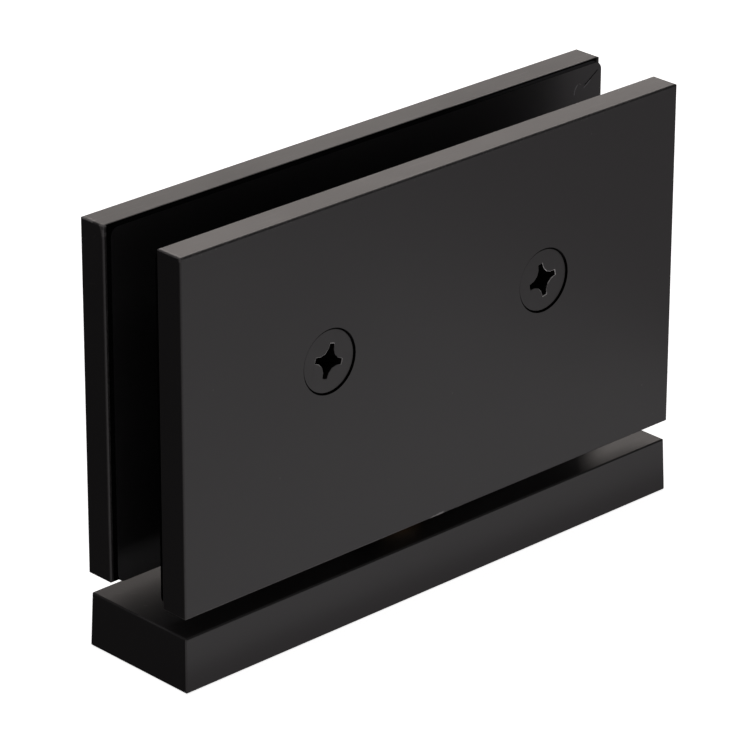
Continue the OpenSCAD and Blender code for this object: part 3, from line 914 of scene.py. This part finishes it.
def trimmed_gasket(node, materials):
    """A punched gasket with slightly rounded edges: its faces keep their skin and its rim is a raw cut."""
    shape = merged_copy(node)
    rims = [
        edge for edge in shape.edges
        if edge.calc_face_angle(0.0) > SHARP_ANGLE
        and any(abs(face.normal.y) > SKIN_FACING for face in edge.link_faces)
    ]
    bmesh.ops.bevel(
        shape, geom=rims, offset=GASKET_BEVEL, affect="EDGES", segments=2, profile=0.5, material=-1
    )
    for face in shape.faces:
        face.material_index = SKIN if abs(face.normal.y) > SKIN_FACING else CUT
    finish_shape(shape, f"{node}_trimmed", Matrix(), node, materials)


class HINGE_OT_plates(Operator):
    """Coats the two clamp plates"""

    bl_idname = "hinge.plates"
    bl_label = "Clamp Plates"

    def execute(self, context):
        lower_left, upper_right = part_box("front_plate")
        upper_left = Vector((lower_left.x, lower_left.y, upper_right.z))
        faces = [
            (lower_left, FRONT, FRONT_PLATE_MARKS),
            (upper_left, UP, FRONT_PLATE_TOP_HIGHLIGHTS),
            (upper_left, LEFT, FRONT_PLATE_END_HIGHLIGHTS),
        ]
        # The front plate gets painted shade in the gap between the plates and in its countersinks
        front = coat_material(
            "Front Plate Coat", "front_plate", wear=0.5, marked_faces=faces, painted_shade=front_painted_shade, gloss=0.03
        )
        dress("front_plate", front)
        upper_left = Vector((PLATE_LOW.x, PLATE_LOW.y, PLATE_HIGH.z))
        faces = [(upper_left, LEFT, BACK_PLATE_END_HIGHLIGHTS_AND_MARKS), (upper_left, UP, BACK_PLATE_TOP_HIGHLIGHTS)]
        # The back plate's inner face gets painted shade in the gap between the plates
        back = coat_material(
            "Back Plate Coat", "back_plate", marked_faces=faces, painted_shade=gap_shade, gloss=-0.02
        )
        dress("back_plate", back)
        return {"FINISHED"}


class HINGE_OT_base_bar(Operator):
    """Coats the base bar"""

    bl_idname = "hinge.base_bar"
    bl_label = "Base Bar"

    def execute(self, context):
        low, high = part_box("base_plate")
        upper_left = Vector((low.x, low.y, high.z))
        faces = [
            (upper_left, UP, BASE_TOP_MARKS),
            (upper_left, LEFT, BASE_END_MARKS),
            (upper_left, FRONT, BASE_FRONT_MARKS),
        ]
        bar = coat_material("Base Bar Coat", "base_plate", wear=0.6, marked_faces=faces, dull_left=0.15)
        dress("base_plate", bar)
        return {"FINISHED"}


class HINGE_OT_block(Operator):
    """Coats the hinge block"""

    bl_idname = "hinge.block"
    bl_label = "Hinge Block"

    def execute(self, context):
        dress("hinge_block", coat_material("Block Coat", "hinge_block", wear=0.6))
        return {"FINISHED"}


class HINGE_OT_gaskets(Operator):
    """Trims the two gaskets and gives them their rubber"""

    bl_idname = "hinge.gaskets"
    bl_label = "Gaskets"

    def execute(self, context):
        skin = self.make_skin()
        cut = self.make_cut()
        trimmed_gasket("front_gasket", (skin, cut))
        trimmed_gasket("back_gasket", (skin, cut))
        return {"FINISHED"}

    def make_skin(self):
        """Smooth moulded rubber with a cut that the glass has left, darkened in its groove as painted shade,
        and painted highlights beside it.
        """
        settings = hinge_settings().inner
        made, tree, shader, place = start_material("Gasket Skin", IOR=1.5, Specular_IOR_Level=0.65)
        surface = add_group(tree, "Coat Surface", Vector=place, Peel_Size=0.0015, Grain_Size=0.00025)
        corner = Vector((PLATE_HIGH.x, GASKET_LOW.y, PLATE_HIGH.z))
        cuts = add_marks(tree, place, corner, FRONT, GASKET_CUTS)
        painted_highlights = add_marks(tree, place, corner, FRONT, GASKET_PAINTED_HIGHLIGHTS)
        colour = shades(tree, surface["Patches"], settings.rubber, 2.2, 3.2)
        # Painted highlights: rubber made light grey beside the cut
        colour = mix_colours(tree, painted_highlights, colour, rgba(settings.rubber, 60.0))
        # Painted shade in the cut's groove, over its bumped depth
        colour = mix_colours(tree, cuts, colour, rgba(settings.rubber, 0.1))
        rough = mix_values(tree, cuts, ramp(tree, surface["Patches"], *PATCH_RANGE, 0.36, 0.44), 1.0)
        height = calc(tree, "SUBTRACT", surface["Grain"], calc(tree, "MULTIPLY", cuts, 4.0))
        finish_shader(tree, shader, colour, rough, height=height, depth=0.00002)
        return made

    def make_cut(self):
        """Matte rubber where the gasket was punched out, darkened and without gloss as painted shade in the
        gap between the plates, and lightened towards its right end as painted light.
        """
        settings = hinge_settings().inner
        made, tree, shader, place = start_material("Gasket Cut Edge", IOR=1.5, Specular_IOR_Level=0.0)
        grain = noise(tree, place, scale=2500.0, detail=2.0)
        # Painted shade: rubber darker than its own colour, with no gloss
        dark = shades(tree, grain, settings.rubber, 0.3, 0.6)
        grey = shades(tree, grain, settings.rubber, 5.0, 7.0)
        # Painted light: the edge turns grey towards the right end, where light reaches into the gap
        along = parts_of(tree, place)["X"]
        lighter_share = ramp(tree, along, 0.3 * GASKET_HIGH.x, GASKET_HIGH.x)
        colour = mix_colours(tree, lighter_share, dark, grey)
        rough = ramp(tree, grain, *PATCH_RANGE, 0.8, 0.95)
        finish_shader(tree, shader, colour, rough, height=grain, depth=0.00002)
        return made


class HINGE_OT_clamp_screws(Operator):
    """Blackens the two clamp screws"""

    bl_idname = "hinge.clamp_screws"
    bl_label = "Clamp Screws"

    def execute(self, context):
        recess = self.make_recess()
        for node, sides in WORN_AND_LIT_SIDES.items():
            materials = (self.make_black(node), recess, self.make_burr(node, sides))
            threaded_screw(node, FRONT, CLAMP_THREAD, materials, sunk=HEAD_SINK)
        return {"FINISHED"}

    def make_black(self, node):
        """Black oxide over a turned head."""
        settings = hinge_settings().inner
        made, tree, shader, place, rings = start_turned(
            f"{label_of(node)} Black", node_centre(node), FACING_FRONT, pitch=0.0003, IOR=1.5
        )
        patches = noise(tree, place, scale=300.0, detail=3.0)
        colour = shades(tree, patches, settings.oxide, 0.8, 1.25)
        rough = ramp(tree, patches, *PATCH_RANGE, 0.38, 0.44)
        finish_shader(tree, shader, colour, rough, height=rings, depth=0.000004)
        return made

    def make_recess(self):
        """Walls of the cross recess, made near black and without gloss as painted shade."""
        settings = hinge_settings().inner
        made, tree, shader, place = start_material("Recess Painted Shade", IOR=1.5, Specular_IOR_Level=0.0)
        grain = noise(tree, place, scale=3000.0, detail=2.0)
        colour = shades(tree, grain, settings.oxide, 0.1, 0.4)
        finish_shader(tree, shader, colour, ramp(tree, grain, *PATCH_RANGE, 0.7, 0.9))
        return made

    def make_burr(self, node, worn_and_lit_sides):
        """Edge of the cross recess, rubbed bare by the driver on some sides and brightened there as painted
        highlights.
        """
        settings = hinge_settings().inner
        made, tree, shader, place = start_material(f"{label_of(node)} Burr", IOR=1.5)
        place = moved(tree, place, node_centre(node), FACING_FRONT)
        side = 0.0
        for way in worn_and_lit_sides:
            toward = dot(tree, place, way)
            side = calc(tree, "MAXIMUM", side, ramp(tree, toward, 0.0005, 0.0013))
        lighter_share = ramp(tree, noise(tree, place, scale=1100.0, detail=2.0), 0.25, 0.5)
        worn = calc(tree, "MULTIPLY", side, lighter_share)
        # Painted highlight: light grey steel colour on a shader that is not metallic, over the real wear
        colour = mix_colours(tree, worn, rgba(settings.oxide), rgba(settings.steel, 0.8))
        finish_shader(tree, shader, colour, ramp(tree, worn, 0.0, 1.0, 0.45, 0.3))
        return made


class HINGE_OT_pivot(Operator):
    """Finishes the pivot pin, its washers and its screws"""

    bl_idname = "hinge.pivot"
    bl_label = "Pivot Pin and Washers"

    def execute(self, context):
        settings = hinge_settings().inner
        axis = (0.0, 0.0, 0.0)
        pin = turned_metal("Pin Steel", settings.steel, axis, roughness=0.26)
        dress("pivot_pin", pin)
        dress("retaining_washer", pin)
        threaded_screw("retaining_screw", UP, RETAINING_THREAD, (pin,))
        threaded_screw("pin_screw", DOWN, PIN_SCREW_THREAD, (pin,))
        bronze = turned_metal("Washer Bronze", settings.bronze, axis, roughness=0.36, pitch=0.0003)
        dress("thrust_washer", bronze)
        return {"FINISHED"}


class HINGE_OT_bushes(Operator):
    """Gives the bushes and the screw sleeves their acetal"""

    bl_idname = "hinge.bushes"
    bl_label = "Bushes and Sleeves"

    def execute(self, context):
        settings = hinge_settings().inner
        turns = {
            "lower_bush": UNTURNED,
            "upper_bush": UNTURNED,
            "screw_sleeve_left": FACING_FRONT,
            "screw_sleeve_right": FACING_FRONT,
        }
        for node, turn in turns.items():
            made, tree, shader, place, rings = start_turned(
                f"{label_of(node)} Acetal", node_centre(node), turn, pitch=0.00025, IOR=1.48
            )
            patches = noise(tree, place, scale=150.0, detail=2.0)
            colour = shades(tree, patches, settings.acetal, 0.95, 1.03)
            rough = ramp(tree, rings, *RING_RANGE, 0.36, 0.48)
            finish_shader(tree, shader, colour, rough, height=rings, depth=0.000008)
            dress(node, made)
        return {"FINISHED"}


class HINGE_OT_centring(Operator):
    """Finishes the plungers, the springs, the plugs and the block's screws"""

    bl_idname = "hinge.centring"
    bl_label = "Centring Mechanism"

    def execute(self, context):
        settings = hinge_settings().inner
        bore = Vector((0.0, 0.0, node_centre("plunger_left").z))
        plunger = turned_metal("Plunger Steel", settings.steel, bore, ALONG_X, roughness=0.24)
        wire = turned_metal("Spring Wire", settings.spring_steel, bore, ALONG_X, roughness=0.3)
        for side, way in (("left", LEFT), ("right", RIGHT)):
            dress(f"plunger_{side}", plunger)
            dress(f"spring_{side}", wire)
            plug = f"spring_plug_{side}"
            made, tree, shader, _, rings = start_turned(
                f"Plug Black {side.title()}", node_centre(plug), ALONG_X, pitch=0.00025, IOR=1.5
            )
            colour = shades(tree, rings, settings.oxide, 1.2, 2.2)
            rough = ramp(tree, rings, *RING_RANGE, 0.3, 0.42)
            finish_shader(tree, shader, colour, rough, height=rings, depth=0.000006)
            threaded_screw(plug, way, PLUG_THREAD, (made,), socket=PLUG_SOCKET_REACH)
            for level in ("lower", "upper"):
                node = f"block_screw_{level}_{side}"
                centre = node_centre(node)
                steel = turned_metal(f"{label_of(node)} Steel", settings.steel, centre, FACING_FRONT)
                threaded_screw(node, FRONT, BLOCK_THREAD, (steel,))
        return {"FINISHED"}


def add_softbox(name, place, target, width, height, power, colour):
    """A rectangular soft light that faces a point."""
    data = bpy.data.lights.new(name, "AREA")
    data.shape = "RECTANGLE"
    data.size = width
    data.size_y = height
    data.energy = power
    data.color = colour
    lamp = bpy.data.objects.new(name, data)
    facing = (Vector(target) - Vector(place)).to_track_quat("-Z", "Y").to_matrix().to_4x4()
    lamp.matrix_world = Matrix.Translation(place) @ facing
    lamp.visible_camera = False
    bpy.context.scene.collection.objects.link(lamp)


def make_camera(studio):
    """Camera at the photograph's place, with its roll."""
    data = bpy.data.cameras.new("Camera")
    data.lens = studio.focal_length
    data.sensor_width = SENSOR_WIDTH
    data.clip_start = 0.01
    data.clip_end = 100.0
    camera = bpy.data.objects.new("Camera", data)
    place = Vector(studio.camera_place)
    facing = (Vector(studio.camera_target) - place).to_track_quat("-Z", "Y").to_matrix().to_4x4()
    roll = Matrix.Rotation(studio.camera_roll, 4, "Z")
    camera.matrix_world = Matrix.Translation(place) @ facing @ roll
    bpy.context.scene.collection.objects.link(camera)
    bpy.context.scene.camera = camera


def make_floor(studio):
    """Plain white floor, which only the camera sees, and only from above so that the underside shows too."""
    shape = bmesh.new()
    bmesh.ops.create_grid(shape, x_segments=1, y_segments=1, size=studio.floor_size / 2)
    bmesh.ops.translate(shape, vec=(0, 0, -FLOOR_GAP), verts=shape.verts)
    mesh = bpy.data.meshes.new("studio_floor")
    shape.to_mesh(mesh)
    shape.free()
    floor = bpy.data.objects.new("studio_floor", mesh)
    bpy.context.scene.collection.objects.link(floor)
    made, tree, shader, _ = start_material(
        "Studio Floor",
        Base_Color=rgba(studio.floor_colour),
        Roughness=0.9,
        Specular_IOR_Level=0.0,
        Emission_Color=rgba(WHITE),
        Emission_Strength=FLOOR_GLOW,
    )
    below = add_node(tree, "ShaderNodeNewGeometry").outputs["Backfacing"]
    clear = add_node(tree, "ShaderNodeBsdfTransparent").outputs[0]
    seen = add_node(tree, "ShaderNodeMixShader", {0: below, 1: shader.outputs[0], 2: clear}).outputs[0]
    tree.links.new(seen, tree.nodes["Material Output"].inputs["Surface"])
    mesh.materials.append(made)
    floor.visible_diffuse = False
    floor.visible_glossy = False


def make_world():
    """Studio surroundings: a pale table, a dim ceiling and black cards, all white to the camera."""
    world = bpy.data.worlds.new("Studio")
    bpy.context.scene.world = world
    world.use_nodes = True
    tree = world.node_tree
    tree.nodes.clear()
    direction = add_node(tree, "ShaderNodeTexCoord").outputs["Generated"]
    height = parts_of(tree, direction)["Z"]
    strength = ramp(tree, height, *TABLE_TO_CEILING, TABLE_LIGHT, CEILING_LIGHT)
    strength = calc(tree, "ADD", strength, ramp(tree, height, *END_OF_BELOW, LIGHT_FROM_BELOW, 0.0))
    for way, edge_start, edge_end, left_over in CARDS:
        toward = dot(tree, direction, Vector(way).normalized())
        card = ramp(tree, toward, edge_start, edge_end, 1.0, left_over)
        strength = calc(tree, "MULTIPLY", strength, card)
    shown = add_node(tree, "ShaderNodeLightPath").outputs["Is Camera Ray"]
    strength = mix_values(tree, shown, strength, 1.0)
    colour = mix_colours(tree, shown, rgba(SURROUNDINGS_COLOUR), rgba(WHITE))
    surface = add_node(tree, "ShaderNodeBackground", {"Color": colour, "Strength": strength})
    output = tree.nodes.new("ShaderNodeOutputWorld")
    tree.links.new(surface.outputs[0], output.inputs["Surface"])


class HINGE_OT_studio(Operator):
    """Makes the camera, the floor and the light"""

    bl_idname = "hinge.studio"
    bl_label = "Studio"

    def execute(self, context):
        studio = hinge_settings().studio
        make_camera(studio)
        make_floor(studio)
        make_world()
        for softbox in SOFTBOXES:
            add_softbox(*softbox)
        context.scene.view_settings.view_transform = "Standard"
        return {"FINISHED"}


class HingeSettings(PropertyGroup):
    """All settings of the hinge"""

    coat: PointerProperty(type=CoatSettings)
    inner: PointerProperty(type=InnerSettings)
    studio: PointerProperty(type=StudioSettings)


OPERATORS = (
    HINGE_OT_plates,
    HINGE_OT_base_bar,
    HINGE_OT_block,
    HINGE_OT_gaskets,
    HINGE_OT_clamp_screws,
    HINGE_OT_pivot,
    HINGE_OT_bushes,
    HINGE_OT_centring,
    HINGE_OT_studio,
)


class HINGE_PT_panel(Panel):
    """Lists the hinge's pieces and settings"""

    bl_idname = "HINGE_PT_panel"
    bl_label = "Door Hinge"
    bl_space_type = "VIEW_3D"
    bl_region_type = "UI"
    bl_category = "Door Hinge"

    def draw(self, context):
        settings = context.scene.door_hinge
        for group in (settings.coat, settings.inner, settings.studio):
            box = self.layout.box()
            for name in group.__annotations__:
                box.prop(group, name)
        for operator in OPERATORS:
            self.layout.operator(operator.bl_idname)


CLASSES = (CoatSettings, InnerSettings, StudioSettings, HingeSettings, *OPERATORS, HINGE_PT_panel)


def register():
    for item in CLASSES:
        bpy.utils.register_class(item)
    bpy.types.Scene.door_hinge = PointerProperty(type=HingeSettings)


def unregister():
    del bpy.types.Scene.door_hinge
    for item in reversed(CLASSES):
        bpy.utils.unregister_class(item)


def main():
    register()
    bpy.ops.hinge.studio()
    bpy.ops.hinge.plates()
    bpy.ops.hinge.base_bar()
    bpy.ops.hinge.block()
    bpy.ops.hinge.gaskets()
    bpy.ops.hinge.clamp_screws()
    bpy.ops.hinge.pivot()
    bpy.ops.hinge.bushes()
    bpy.ops.hinge.centring()


if __name__ == "__main__":
    main()
